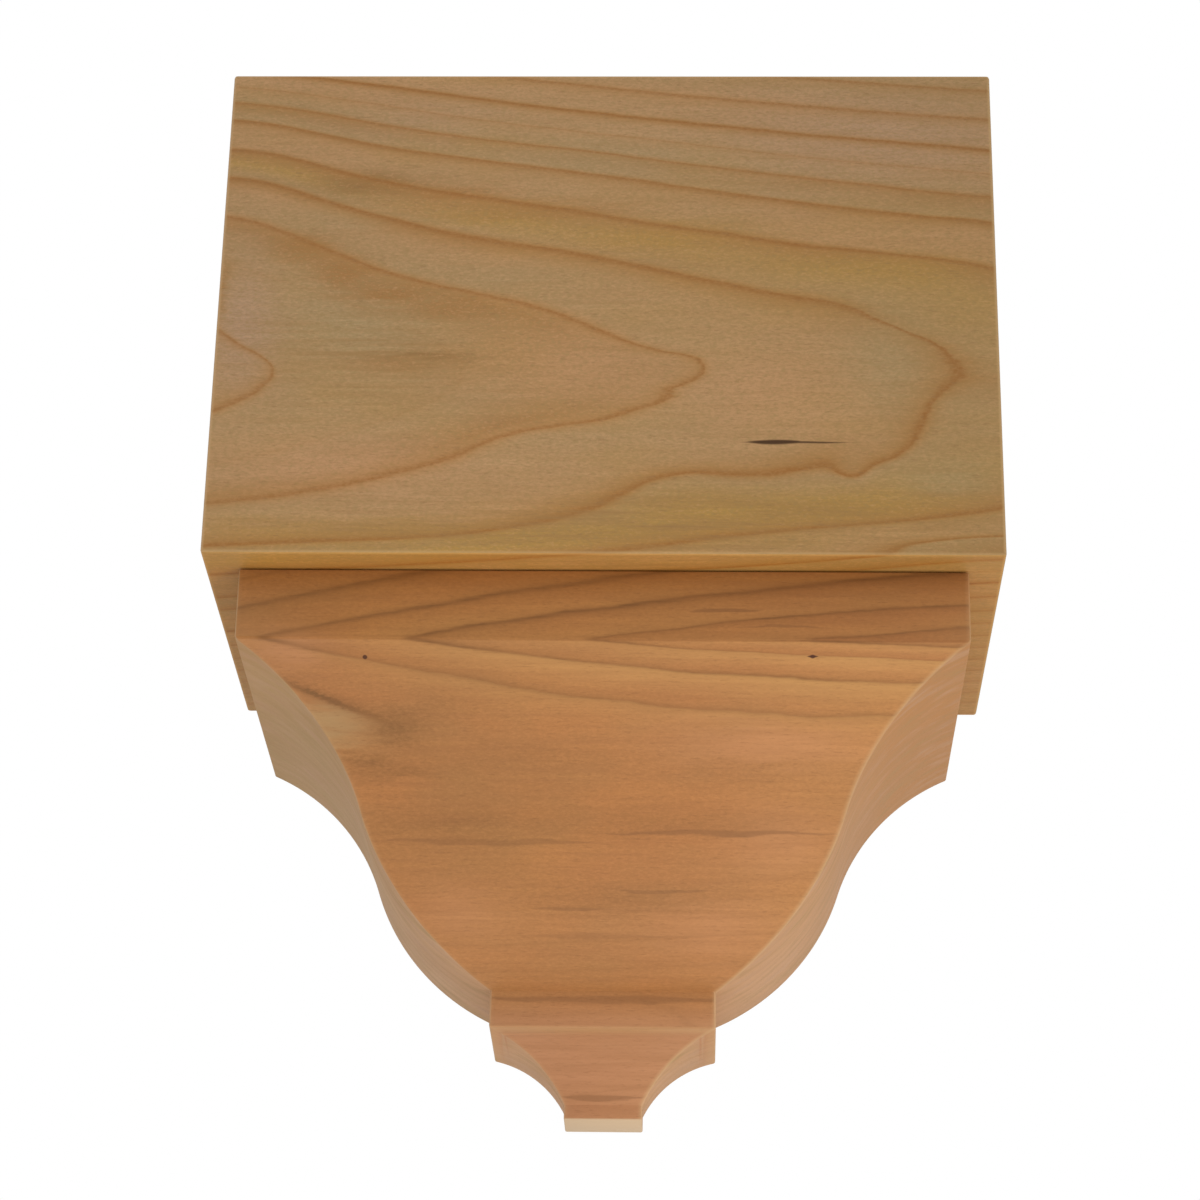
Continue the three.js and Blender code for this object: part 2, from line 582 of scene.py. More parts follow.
# Where the trunk swelled or was pinched: middle from side to side and in height, how far it reaches both ways,
# and how far it moves the rings in towards the pith, all in mm
HEAD_SWELLS = (
    (-63, 22, 15, 14, -3.2),
    (-30, 8, 16, 7, 1.1),
    (14, -11, 10, 7, -1.4),
    (-14, -26, 16, 6, 1.8),
    (12, -34, 11, 6, 2.0),
    (58, -19, 8, 7, 1.0),
    (46, -27, 5, 4, -1.1),
    (46, 5, 14, 6, -1.4),
    (-40, -28, 18, 8, 1.0),
    (62, 8, 10, 8, -0.6),
    (0, 30, 22, 8, -0.4),
    (-62, -2, 8, 8, 1.4),
    (-60, 42, 35, 10, -1.6),
    (-28, -41, 24, 5, -1.8),
    (45, -39, 26, 4, -0.8),
    (66, -45, 26, 3, 4.0),
    (41.5, -31, 3, 3.2, -1.5),
    (11, -7.5, 6, 2.6, 0.45),
    (13, -15.2, 6, 2.6, 0.4),
)
# Tinges of the head's wood
BROWN = (0.26, 0.13, 0.036)
TAN = (0.335, 0.152, 0.039)
AMBER = (0.41, 0.21, 0.065)
GREY_GREEN = (0.36, 0.258, 0.128)
LILAC = (0.415, 0.255, 0.163)
OCHRE = (0.40, 0.222, 0.044)
ROSE = (0.50, 0.268, 0.13)
# Where they show on its front: middle from side to side and in height, how far they reach both ways, in mm,
# how strong they are, and the tinge
HEAD_TINGES = (
    (-43, -2, 13, 9, 0.8, GREY_GREEN),
    (-62, -4, 6, 14, 0.8, LILAC),
    (50, 34, 34, 12, 0.8, LILAC),
    (-30, 38, 14, 4, 0.4, LILAC),
    (47, -10, 8, 9, 0.8, GREY_GREEN),
    (57, -33, 9, 4, 0.7, GREY_GREEN),
    (-44, 18.5, 9, 3, 0.8, GREY_GREEN),
    (-44, -31, 26, 6, 0.9, ROSE),
    (26, -16, 16, 9, 0.8, ROSE),
    (-6, -12, 16, 7, 0.8, ROSE),
    (-15, 6, 16, 3, 0.5, GREY_GREEN),
    (0, 30, 20, 4, 0.4, GREY_GREEN),
    (-18, 18, 12, 2.6, 0.8, OCHRE),
    (9, 13.5, 16, 3, 0.9, OCHRE),
    (50, 8, 14, 3, 0.6, OCHRE),
    (-20, -43.5, 55, 3, 0.95, OCHRE),
    (30, -38.5, 34, 2.8, 0.8, OCHRE),
    (-20, -9, 14, 7, 0.6, AMBER),
    (5, 9, 30, 8, 0.3, AMBER),
    (-41.5, 24.4, 9, 2.4, 1.0, BROWN),
    (-28, 22.2, 10, 1.9, 0.95, TAN),
    (-36, 19.5, 13, 2.0, 0.6, AMBER),
    (-10, 19, 14, 1.6, 0.6, TAN),
    (-52, 11.5, 5.5, 2.8, 0.9, TAN),
    (-45, 6.5, 5.5, 3.0, 1.0, TAN),
    (-37, 2.5, 8, 2.4, 1.0, TAN),
    (-27, -0.5, 8, 2.2, 0.8, TAN),
    (-37, -11, 9, 1.8, 0.6, TAN),
    (-31, -9.7, 8, 0.9, 1.0, BROWN),
    (-36, -6.5, 9, 2, 0.45, GREY_GREEN),
    (-66.3, 3, 1.4, 5, 1.0, TAN),
)
# Where the widest arch turns: middle and reach both ways, in mm, and how much narrower its line is kept there
ARCH_TURN = (50, -4, 15, 14, 0.6)
# How strongly the fibres show all over, and where they show more: middle and reach from side to side and in
# height, in mm, and how much more
EVEN_FIBRES = 0.33
FIBROUS_PLACES = ((10, -42, 60, 6, 0.7), (-38, -10, 18, 8, 0.5))
# The mineral streak's thick part and its tail: middle across and up, reach, in mm, and how dark each is
MINERAL_STREAK = (((28.8, -25.9), (6.0, 3.0, 0.62), 1.0), ((32.0, -25.95), (11.0, 3.0, 0.28), 0.85))

# The pith beside the drop: how far it lies in front of the fascia and below the top, in mm, then as for the head
DROP_PITH_AHEAD, DROP_PITH_BELOW = 126.3, 83.9
DROP_LEAN, DROP_BEND, DROP_RIPPLE = (-5.65, 18.3), (0.5, -2.1), 0.9
# The drop's growth rings, read off where its fascia and cove cut them, and how dark their lines are
DROP_RINGS = (138.3, 141.0, 143.5, 145.3, 147.9, 150.8, 154.6, 158.0, 161.5, 165.5, 169.8, 173.5, 176.5, 179.5)
FASCIA_LINES = (0.6, 0.7, 0.9, 0.8, 1.0, 0.85, 0.8, 0.4, 0.2, 0.15, 0.2, 0.1, 0.15, 0.2)
COVE_LINES = (0.4, 0.4, 0.62, 0.4, 0.66, 0.55, 0.06, 0.1, 0.2, 0.15, 0.2, 0.1, 0.15, 0.2)
DROP_RING_SPACING = 2.8

# Thin dark streaks on the drop's front: middle and reach, in mm, and how dark they are
DROP_STREAKS = (
    ((-19, -40.5, -87.0), (22, 6, 0.8), 0.34),
    ((20, -40.6, -85.5), (24, 6, 0.65), 0.48),
    ((10, -35.7, -94.0), (9, 6, 0.35), 0.4),
    ((-5, -33.6, -96.5), (8, 6, 0.4), 0.35),
    ((2, -30.1, -100.1), (20, 6, 0.5), 0.2),
    ((-4, -23.0, -105.1), (18, 6, 0.4), 0.12),
    ((0, -20.2, -107.9), (28, 6, 0.95), 0.45),
    ((0, -8.3, -121.6), (9, 3, 0.75), 0.5),
    ((20.4, -61.7, -54.2), (7, 3, 0.6), 0.5),
    ((30, -61.7, -57.2), (9, 3, 0.4), 0.35),
)
# Pinker patches on its front: middle and reach from side to side and in height, in mm, and how strong they are
PINK_PATCHES = (
    (-52, -60, 6, 2.5, 0.7),
    (28, -72, 16, 3.5, 0.6),
    (30, -86, 9, 6, 0.5),
    (-24, -97, 8, 4, 0.4),
    (20, -99, 12, 4, 0.5),
)
# Darker clouds on its front: middle and reach from side to side and in height, in mm, and how dark they are
DROP_CLOUDS = (
    (-25, -84.5, 14, 2.2, 0.35),
    (14, -84, 22, 1.8, 0.3),
    (5, -95, 22, 2.2, 0.35),
    (-18, -91, 9, 2.5, 0.2),
    (24, -76, 14, 2.2, 0.25),
    (-10, -74, 12, 1.6, 0.2),
    (-34.5, -70.0, 4.2, 2.3, 0.75),
    (-28, -67.5, 8, 1.8, 0.22),
    (-40, -74.6, 6, 1.2, 0.65),
    (-33, -76.5, 8, 1.0, 0.45),
)

# Pin knots under the fascia: middle and reach, in mm; the right one has a short tail on both sides
PIN_KNOTS = (
    ((-39.3, -58.1, -61.4), (0.5, 0.7, 0.6)),
    ((34.8, -58.6, -61.1), (0.55, 0.7, 0.4)),
    ((34.8, -58.6, -61.1), (1.1, 0.7, 0.2)),
)
# The branch's eye: how steeply its lid falls to the right, where the lid's height is counted from, that height and
# where the pale wedge under it is at its full strength, in mm
LID_FALL, LID_START, LID_HEIGHT, WEDGE_HEIGHT = 0.29, -49.5, -65.0, -66.0

# Reach that a mark or swell has in a direction in which it doesn't fade
ENDLESS = 10000.0


def pith_distance(sketch, place, pith, lean, bend, ripple):
    """How far the place is from a leaning, bent pith, and how steeply that changes; pairs go back and upwards."""
    places = {"Pith y": pith[0], "Pith z": pith[1], "Lean y": lean[0], "Lean z": lean[1]}
    places |= {"Bend y": bend[0], "Bend z": bend[1], "Ripple": ripple}
    return sketch.group(effect("pith"), Place=place, **places)


def line_strength(sketch, nearest, strengths):
    """How dark the line of the nearest ring is."""
    count = len(strengths) - 1
    points = [(i / count, strength) for i, strength in enumerate(strengths)]
    share = sketch.math("MINIMUM", sketch.math("MAXIMUM", sketch.over(nearest, float(count)), 0.0), 1.0)
    return sketch.curve(share, points)


def soft_spot(sketch, place, middle, reach, rise):
    """How much a soft spot counts at the place."""
    return sketch.group(effect("soft spot"), Place=place, Middle=middle, Reach=reach, Rise=rise)[0]


def front_spot(sketch, place, front, across, up, reach, height, amount):
    """A soft spot set on the front that goes straight back through the wood."""
    return soft_spot(sketch, place, (across, front, up), (reach, ENDLESS, height), amount)


def dark_mark(sketch, place, middle, reach):
    """How much a dark mark counts at the place."""
    return sketch.group(effect("mark"), Place=place, Middle=middle, Reach=reach)[0]


def wavering(sketch, place, amounts):
    """The place pushed about a little, once for each amount, so that a mark drawn there wavers."""
    waver = sketch.noise(sketch.vector("MULTIPLY", place, (0.15, 1.0, 1.0)), detail=1.5, output="Color")
    waver = sketch.vector("SUBTRACT", waver, (0.5, 0.5, 0.5))
    return [sketch.vector("ADD", place, sketch.vector("SCALE", waver, scale=amount)) for amount in amounts]


def sanded_surface(sketch, shader, streaks, pores, end):
    """Matt bare wood: rougher on the ends, with the fibres raised and the pores sunk a little."""
    rough = sketch.add(0.5, sketch.times(streaks, 0.16))
    sketch.feed(shader.inputs["Roughness"], sketch.add(rough, sketch.times(end, 0.12)))
    height = sketch.less(sketch.times(streaks, 0.5), sketch.times(pores, 0.6))
    bump = sketch.node("ShaderNodeBump")
    sketch.feed(bump.inputs["Height"], height)
    sketch.feed(bump.inputs["Strength"], 0.35)
    sketch.feed(bump.inputs["Distance"], 0.12 * MM)
    sketch.feed(shader.inputs["Normal"], bump.outputs[0])
    shader.inputs["Specular IOR Level"].default_value = 0.3


# Shades laid over the head's wood
HEAD_DARK_FLECK, HEAD_PALE_FLECK = (0.33, 0.215, 0.08), (0.53, 0.305, 0.14)
HEAD_HALO = (0.39, 0.18, 0.042)
HEAD_FIBRE, HEAD_PORE = (0.31, 0.17, 0.056), (0.26, 0.138, 0.05)
HEAD_ENDS, HEAD_END_LINE, HEAD_END_PORE = (0.40, 0.245, 0.13), (0.27, 0.15, 0.065), (0.25, 0.14, 0.065)
HEAD_EDGE_RUB_AND_HIGHLIGHT = (0.58, 0.37, 0.17)
# Painted bounce light: multiplied into the head's underside, warmer and brighter as if lit from the orange drop
UNDERSIDE_BOUNCE_LIGHT = (1.2, 1.05, 0.72)
MINERAL_BROWN = (0.065, 0.025, 0.004)


def head_bands(settings):
    """Colours of the wood from ring to ring, by how many rings out from the first they lie."""
    beige, rosy, yellow = (tuple(colour) for colour in (settings.beige, settings.rosy, settings.yellow))
    return (
        (0.0, rosy), (1.0, rosy), (1.1, beige), (2.2, beige), (2.8, TAN), (3.0, rosy), (3.12, beige), (3.7, rosy),
        (4.0, TAN), (4.1, beige), (4.5, yellow), (5.0, TAN), (5.1, rosy), (5.8, rosy), (6.0, TAN), (6.1, beige),
        (7.0, TAN), (7.2, beige), (8.0, rosy), (8.7, rosy), (9.0, TAN), (9.1, rosy), (10.1, rosy), (11.0, beige),
        (12.0, rosy),
    )


def head_wood(settings):
    """Pale flat-sawn cherry: thin brown ring lines in long arches, over beige, rosy and yellow wood."""
    material, sketch, shader = new_material("pale_cherry")
    place = place_in_mm(sketch)
    front = HEAD_LOW.y / MM
    pith = (front - HEAD_PITH_AHEAD, HEAD_PITH_HEIGHT)
    radius, slope = pith_distance(sketch, place, pith, HEAD_LEAN, HEAD_BEND, HEAD_RIPPLE)
    for swell in HEAD_SWELLS:
        radius = sketch.add(radius, front_spot(sketch, place, front, *swell))
    ring = ring_count(sketch, radius, HEAD_RINGS)
    strength = line_strength(sketch, sketch.math("ROUND", ring), HEAD_LINES)
    # The rings run nearly level with the surface where the widest arch turns, which would blur its line
    narrow = sketch.less(1.0, front_spot(sketch, place, front, *ARCH_TURN))
    line, halo, _, _ = sketch.group(
        effect("rings"),
        Ring=ring,
        Slope=slope,
        Spacing=HEAD_RING_SPACING,
        Sharp_width=sketch.times(0.22, narrow),
        Soft_width=sketch.times(0.5, narrow),
        Strength=strength,
    )
    streaks, pores, flecks, mottle, patches = sketch.group(effect("fibre"), Place=place, Shift=(3.0, 17.0, 41.0))
    end = sketch.group(effect("end grain"))[0]

    bands = head_bands(settings)
    count = len(HEAD_RINGS) - 1
    colour = sketch.ramp(sketch.over(ring, float(count)), [(at / count, shade) for at, shade in bands])
    colour = sketch.mix(sketch.remap(patches, 0.35, 0.65, 0.0, 0.5, smooth=True), colour, settings.beige)
    colour = sketch.mix(sketch.remap(mottle, 0.45, 0.75, 0.0, 0.4), colour, settings.yellow)
    wavered, ragged = wavering(sketch, place, (0.3, 4.0))
    for *spot, tinge in HEAD_TINGES:
        colour = sketch.mix(front_spot(sketch, ragged, front, *spot), colour, tinge)
    colour = sketch.mix(sketch.remap(flecks, 0.55, 0.3, 0.0, 0.65), colour, HEAD_DARK_FLECK)
    colour = sketch.mix(sketch.remap(flecks, 0.5, 0.8, 0.0, 0.7), colour, HEAD_PALE_FLECK)
    colour = sketch.mix(sketch.times(sketch.times(halo, narrow), 0.55), colour, HEAD_HALO)
    broken = sketch.remap(flecks, 0.35, 0.6, 0.85, 0.5)
    colour = sketch.mix(sketch.times(line, broken), colour, settings.ring_line)
    fibrous = EVEN_FIBRES
    for spot in FIBROUS_PLACES:
        fibrous = sketch.add(front_spot(sketch, place, front, *spot), fibrous)
    fibres = sketch.times(sketch.remap(streaks, 0.3, 0.75), fibrous)
    colour = sketch.mix(fibres, colour, HEAD_FIBRE)
    colour = sketch.mix(sketch.times(pores, 0.34), colour, HEAD_PORE)
    ends = sketch.mix(sketch.times(line, 0.3), HEAD_ENDS, HEAD_END_LINE)
    ends = sketch.mix(sketch.times(pores, 0.4), ends, HEAD_END_PORE)
    colour = sketch.mix(end, colour, ends)
    # Paler edges: partly rubbed wood, partly a painted highlight where light catches the eased arris
    edge = sketch.group(
        effect("block edge"), Place=place, Low=tuple(HEAD_LOW / MM), High=tuple(HEAD_HIGH / MM), Width=0.7
    )[0]
    colour = sketch.mix(sketch.times(edge, 0.4), colour, HEAD_EDGE_RUB_AND_HIGHLIGHT)
    # Painted bounce light: the head's underside is made warmer and brighter, as light bouncing off the drop would
    # make it
    downwards = sketch.split(sketch.node("ShaderNodeNewGeometry").outputs["Normal"])[2]
    golden = sketch.mix(1.0, colour, UNDERSIDE_BOUNCE_LIGHT, blend="MULTIPLY")
    # Painted shadow: the underside darkens towards its left end, where the drop shades it from the key light
    left_underside_painted_shadow = sketch.remap(sketch.split(place)[0], -62.0, -55.0, 0.86, 1.0)
    golden = sketch.mix(1.0, golden, sketch.join(left_underside_painted_shadow, left_underside_painted_shadow, left_underside_painted_shadow), blend="MULTIPLY")
    colour = sketch.mix(sketch.remap(downwards, -0.8, -0.95), colour, golden)
    thick, tail = (
        sketch.times(dark_mark(sketch, wavered, (middle[0], front, middle[1]), reach), dark)
        for middle, reach, dark in MINERAL_STREAK
    )
    streak = sketch.math("MAXIMUM", thick, tail)
    colour = sketch.mix(streak, colour, MINERAL_BROWN)
    darker_right = sketch.remap(sketch.split(place)[0], -15.0, 62.0, 1.0, 0.86)
    shade = sketch.join(darker_right, darker_right, sketch.math("POWER", darker_right, 1.6))
    colour = sketch.mix(1.0, colour, shade, blend="MULTIPLY")
    sketch.feed(shader.inputs["Base Color"], colour)
    sanded_surface(sketch, shader, streaks, pores, end)
    return material


# Shades laid over the drop's wood
DROP_BROWN, DROP_GOLD = (0.385, 0.185, 0.06), (0.53, 0.255, 0.09)
DROP_DARK_FLECK, DROP_PALE_FLECK = (0.36, 0.16, 0.045), (0.60, 0.27, 0.092)
EARLY_GOLD = (0.575, 0.303, 0.098)
PINK = (0.55, 0.25, 0.105)
CLOUD = (0.22, 0.10, 0.028)
EYE_PALE, EYE_LINE = (0.45, 0.29, 0.125), (0.15, 0.07, 0.02)
STREAK = (0.20, 0.085, 0.03)
DROP_HALO = (0.30, 0.13, 0.033)
DROP_FIBRE, DROP_PORE = (0.30, 0.125, 0.045), (0.22, 0.09, 0.03)
KNOT = (0.07, 0.02, 0.008)
# Painted shade multiplied into the fascia's front face, as under the head's overhang
FASCIA_PAINTED_SHADE = (0.82, 0.75, 0.61)
FOOT_PINK = (0.50, 0.235, 0.115)
# The greyer left ends are painted cooler light falling on the left side
COOL_LIT_LEFT_ENDS, LOW_ENDS = (0.435, 0.262, 0.114), (0.57, 0.328, 0.178)
OLIVE_ENDS, PINK_ENDS = (0.37, 0.225, 0.085), (0.48, 0.28, 0.16)
MOTTLED_ENDS, LATE_ENDS = (0.40, 0.205, 0.085), (0.38, 0.20, 0.085)
END_LINE, END_PORE = (0.30, 0.16, 0.07), (0.28, 0.155, 0.08)
RUBBED_MITRE_AND_HIGHLIGHT, PALE_BAND_EDGE, FOOT_END = (0.60, 0.38, 0.19), (0.62, 0.37, 0.16), (0.62, 0.44, 0.27)


def drop_wood(settings):
    """Orange cherry cut nearly along its rings, so that the fascia and cove show long dark wedges."""
    material, sketch, shader = new_material("orange_cherry")
    place = place_in_mm(sketch)
    front, top = DROP_LOW.y / MM, DROP_HIGH.z / MM
    across, inward, up = sketch.split(place)
    pith = (front - DROP_PITH_AHEAD, top - DROP_PITH_BELOW)
    radius, slope = pith_distance(sketch, place, pith, DROP_LEAN, DROP_BEND, DROP_RIPPLE)
    ring = ring_count(sketch, radius, DROP_RINGS)
    nearest = sketch.math("ROUND", ring)
    on_fascia = sketch.remap(up, top - FASCIA_HEIGHT - 1.5, top - FASCIA_HEIGHT)
    on_cove, on_face = (line_strength(sketch, nearest, lines) for lines in (COVE_LINES, FASCIA_LINES))
    strength = sketch.remap(on_fascia, 0.0, 1.0, on_cove, on_face)
    line, halo, season, tone = sketch.group(
        effect("rings"),
        Ring=ring,
        Slope=slope,
        Spacing=DROP_RING_SPACING,
        Sharp_width=0.26,
        Soft_width=0.5,
        Strength=strength,
        Fade_below=0.16,
        Seed=11.0,
    )
    streaks, pores, flecks, mottle, patches = sketch.group(effect("fibre"), Place=place, Shift=(71.0, 5.0, 23.0))
    end = sketch.group(effect("end grain"))[0]

    wavered, ragged = wavering(sketch, place, (1.2, 4.0))
    colour = sketch.mix(sketch.remap(patches, 0.38, 0.62, smooth=True), settings.orange, settings.ruddy)
    colour = sketch.mix(sketch.remap(mottle, 0.42, 0.7, 0.0, 0.6), colour, DROP_BROWN)
    colour = sketch.mix(sketch.times(tone, 0.2), colour, DROP_GOLD)
    colour = sketch.mix(sketch.remap(flecks, 0.55, 0.3, 0.0, 0.4), colour, DROP_DARK_FLECK)
    colour = sketch.mix(sketch.remap(flecks, 0.5, 0.8, 0.0, 0.35), colour, DROP_PALE_FLECK)
    golden = sketch.times(sketch.remap(ring, 5.6, 4.6, smooth=True), sketch.remap(season, 0.8, 0.05, 0.0, 0.7))
    golden = sketch.times(golden, sketch.remap(on_fascia, 0.0, 1.0, 1.0, 0.4))
    colour = sketch.mix(golden, colour, EARLY_GOLD)
    foot_pink = sketch.remap(up, -106.0, -114.0, 0.0, 0.7, smooth=True)
    colour = sketch.mix(foot_pink, colour, FOOT_PINK)
    for spot in PINK_PATCHES:
        colour = sketch.mix(front_spot(sketch, ragged, front, *spot), colour, PINK)
    # A branch's eye by the left mitre: a pale wedge under a line that falls to the right
    level = sketch.add(up, sketch.times(LID_FALL, sketch.less(across, LID_START)))
    under = sketch.remap(level, LID_HEIGHT, WEDGE_HEIGHT, smooth=True)
    pale = soft_spot(sketch, ragged, (-46.0, -49, -69.2), (7.0, ENDLESS, 3.2), 0.8)
    colour = sketch.mix(sketch.times(pale, under), colour, EYE_PALE)
    for spot in DROP_CLOUDS:
        cloud = front_spot(sketch, ragged, front, *spot)
        colour = sketch.mix(sketch.times(cloud, sketch.remap(flecks, 0.35, 0.65, 1.0, 0.6)), colour, CLOUD)
    along_line = sketch.join(across, inward, sketch.add(level, sketch.times(1.1, sketch.less(flecks, 0.5))))
    upper_lid = soft_spot(sketch, along_line, (-46.5, front, -65.2), (8.0, ENDLESS, 0.42), 0.75)
    lid_shade = soft_spot(sketch, along_line, (-44.0, front, LID_HEIGHT), (9.0, ENDLESS, 1.1), 0.4)
    colour = sketch.mix(lid_shade, colour, CLOUD)
    colour = sketch.mix(upper_lid, colour, EYE_LINE)
    for middle, reach, dark in DROP_STREAKS:
        mark = dark_mark(sketch, wavered, middle, reach)
        colour = sketch.mix(sketch.times(mark, dark), colour, STREAK)
    colour = sketch.mix(sketch.times(halo, 0.4), colour, DROP_HALO)
    broken = sketch.remap(streaks, 0.35, 0.6, 0.72, 0.4)
    colour = sketch.mix(sketch.times(line, broken), colour, settings.ring_line)
    colour = sketch.mix(sketch.remap(streaks, 0.3, 0.75, 0.0, 0.34), colour, DROP_FIBRE)
    colour = sketch.mix(sketch.times(pores, 0.22), colour, DROP_PORE)
    for middle, reach in PIN_KNOTS:
        knot = dark_mark(sketch, place, middle, reach)
        colour = sketch.mix(sketch.times(knot, 0.9), colour, KNOT)
    # Painted shade: the fascia's front face is darkened, as under the head's overhang
    on_fascia_front = sketch.remap(sketch.less(inward, front), 0.15, 0.5, 1.0, 0.0, smooth=True)
    shaded_fascia = sketch.mix(1.0, colour, FASCIA_PAINTED_SHADE, blend="MULTIPLY")
    colour = sketch.mix(on_fascia_front, colour, shaded_fascia)
    lighter_right = sketch.remap(across, -30.0, 45.0, 0.96, 1.04)
    lighter_left = sketch.remap(across, -50.0, 50.0, 1.05, 0.93)
    lighter = sketch.remap(on_fascia_front, 0.0, 1.0, lighter_right, lighter_left)
    shade = sketch.join(lighter, sketch.math("POWER", lighter, 1.2), lighter)
    colour = sketch.mix(1.0, colour, shade, blend="MULTIPLY")

    # Painted light: the left ends are greyer, as if lit by cooler light from the left
    ends = sketch.mix(sketch.remap(across, -10.0, -40.0, smooth=True), settings.end_grain, COOL_LIT_LEFT_ENDS)
    ends = sketch.mix(sketch.remap(up, -68.0, -100.0, 0.0, 0.7), ends, LOW_ENDS)
    upright = sketch.noise(sketch.vector("MULTIPLY", place, (0.3, 1.0, 0.12)), scale=0.35, detail=3.5, rough=0.6)
    ends = sketch.mix(sketch.remap(upright, 0.5, 0.3, 0.0, 0.7), ends, OLIVE_ENDS)
    ends = sketch.mix(sketch.remap(upright, 0.5, 0.72, 0.0, 0.8), ends, PINK_ENDS)
    ends = sketch.mix(sketch.remap(mottle, 0.4, 0.7, 0.0, 0.35), ends, MOTTLED_ENDS)
    ends = sketch.mix(sketch.remap(season, 0.3, 1.0, 0.0, 0.2), ends, LATE_ENDS)
    ends = sketch.mix(sketch.times(line, 0.18), ends, END_LINE)
    ends = sketch.mix(sketch.times(pores, 0.3), ends, END_PORE)
    colour = sketch.mix(end, colour, ends)
    # Paler mitre arrises: partly rubbed wood, partly a painted highlight, stronger to the right where the key
    # light falls
    mitre = sketch.group(effect("mitre"), Place=place, Half_width=DROP_HIGH.x / MM, Front=front, Width=1.0)[0]
    pale_edge = sketch.times(sketch.remap(across, -5.0, 5.0, 0.14, 0.42), sketch.remap(on_fascia, 0.0, 1.0, 1.0, 0.4))
    colour = sketch.mix(sketch.times(mitre, pale_edge), colour, RUBBED_MITRE_AND_HIGHLIGHT)
    # A paler line along the lower edge of the band
    band_foot = top - (FASCIA_HEIGHT + COVE_FALL + BULGE_FALL + BAND_HEIGHT)
    pale_edge = soft_spot(sketch, place, (0, 0, band_foot - 0.15), (ENDLESS, ENDLESS, 0.35), 0.35)
    colour = sketch.mix(pale_edge, colour, PALE_BAND_EDGE)
    foot_end = sketch.remap(up, DROP_LOW.z / MM + 0.35, DROP_LOW.z / MM + 0.1)
    colour = sketch.mix(foot_end, colour, FOOT_END)
    sketch.feed(shader.inputs["Base Color"], colour)
    sanded_surface(sketch, shader, streaks, pores, end)
    return material


# Meshes


def finish_mesh(shape, name, material, smooth_below=math.radians(25)):
    """Turns a bmesh into an object in the scene, smooth but for its real edges."""
    bmesh.ops.recalc_face_normals(shape, faces=shape.faces)
    mesh = bpy.data.meshes.new(name)
    shape.to_mesh(mesh)
    shape.free()
    for face in mesh.polygons:
        face.use_smooth = True
    mesh.set_sharp_from_angle(angle=smooth_below)
    mesh.materials.append(material)
    piece = bpy.data.objects.new(name, mesh)
    bpy.context.scene.collection.objects.link(piece)
    return piece


def ease_edges(shape, radius, steps=2, sharper_than=math.radians(30)):
    """Rounds the edges that stick out; hollow corners stay as the cutter left them."""
    shape.normal_update()
    outer = [e for e in shape.edges if e.is_manifold and e.calc_face_angle_signed() > sharper_than]
    bmesh.ops.bevel(
        shape, geom=outer, offset=radius, offset_type="OFFSET", segments=steps, profile=0.5, affect="EDGES",
        clamp_overlap=True,
    )


def head_shape(arris):
    """A plain block as large as the CAD one, with its edges eased."""
    shape = bmesh.new()
    bmesh.ops.create_cube(shape, size=1.0)
    size = HEAD_HIGH - HEAD_LOW
    middle = (HEAD_HIGH + HEAD_LOW) / 2
    for vertex in shape.verts:
        vertex.co = Vector(vertex.co[i] * size[i] + middle[i] for i in range(3))
    ease_edges(shape, arris)
    return shape


def arc_points(start, slope, run, fall, steps):
    """Points of the arc that leaves start at a slope below the horizontal, and the slope at its far end."""
    chord = math.atan2(fall, run)
    turn = 2 * (chord - slope)
    radius = math.hypot(run, fall) / (2 * math.sin(turn / 2))
    centre = (start[0] - radius * math.sin(slope), start[1] - radius * math.cos(slope))
    points = []
    for step in range(1, steps + 1):
        angle = slope + turn * step / steps
        points.append((centre[0] + radius * math.sin(angle), centre[1] + radius * math.cos(angle)))
    return points, slope + turn


def moulded_edge():
    """One moulded edge seen square on, in mm: how far it has come in, and its height below the top."""
    run = ((DROP_HIGH.x - DROP_LOW.x) / MM - FOOT_WIDTH) / 2
    edge = [(0.0, 0.0), (0.0, -FASCIA_HEIGHT)]
    points, slope = arc_points(edge[-1], COVE_START, COVE_RUN, COVE_FALL, CURVE_STEPS)
    edge += points
    bulge_run = run - COVE_RUN - FOOT_COVE_RUN
    points, slope = arc_points(edge[-1], slope, bulge_run, BULGE_FALL, CURVE_STEPS)
    edge += points
    edge.append((edge[-1][0], edge[-1][1] - BAND_HEIGHT))
    points, slope = arc_points(edge[-1], FOOT_COVE_START, FOOT_COVE_RUN, FOOT_COVE_FALL, CURVE_STEPS // 2)
    edge += points
    edge.append((edge[-1][0], edge[-1][1] - FOOT_HEIGHT))
    return edge


def drop_shape(arris):
    """The moulded edge carried round the front and both ends and mitred, with a flat back."""
    shape = bmesh.new()
    levels = []
    for come_in, down in moulded_edge():
        left, right = DROP_LOW.x + come_in * MM, DROP_HIGH.x - come_in * MM
        front, back = DROP_LOW.y + come_in * MM, DROP_HIGH.y
        height = DROP_HIGH.z + down * MM
        corners = ((left, back), (left, front), (right, front), (right, back))
        levels.append([shape.verts.new((x, y, height)) for x, y in corners])
    for above, below in zip(levels, levels[1:]):
        for i in range(4):
            j = (i + 1) % 4
            shape.faces.new((above[i], above[j], below[j], below[i]))
    shape.faces.new(levels[0])
    shape.faces.new(levels[-1])
    bmesh.ops.recalc_face_normals(shape, faces=shape.faces)
    ease_edges(shape, arris)
    return shape


# Operators


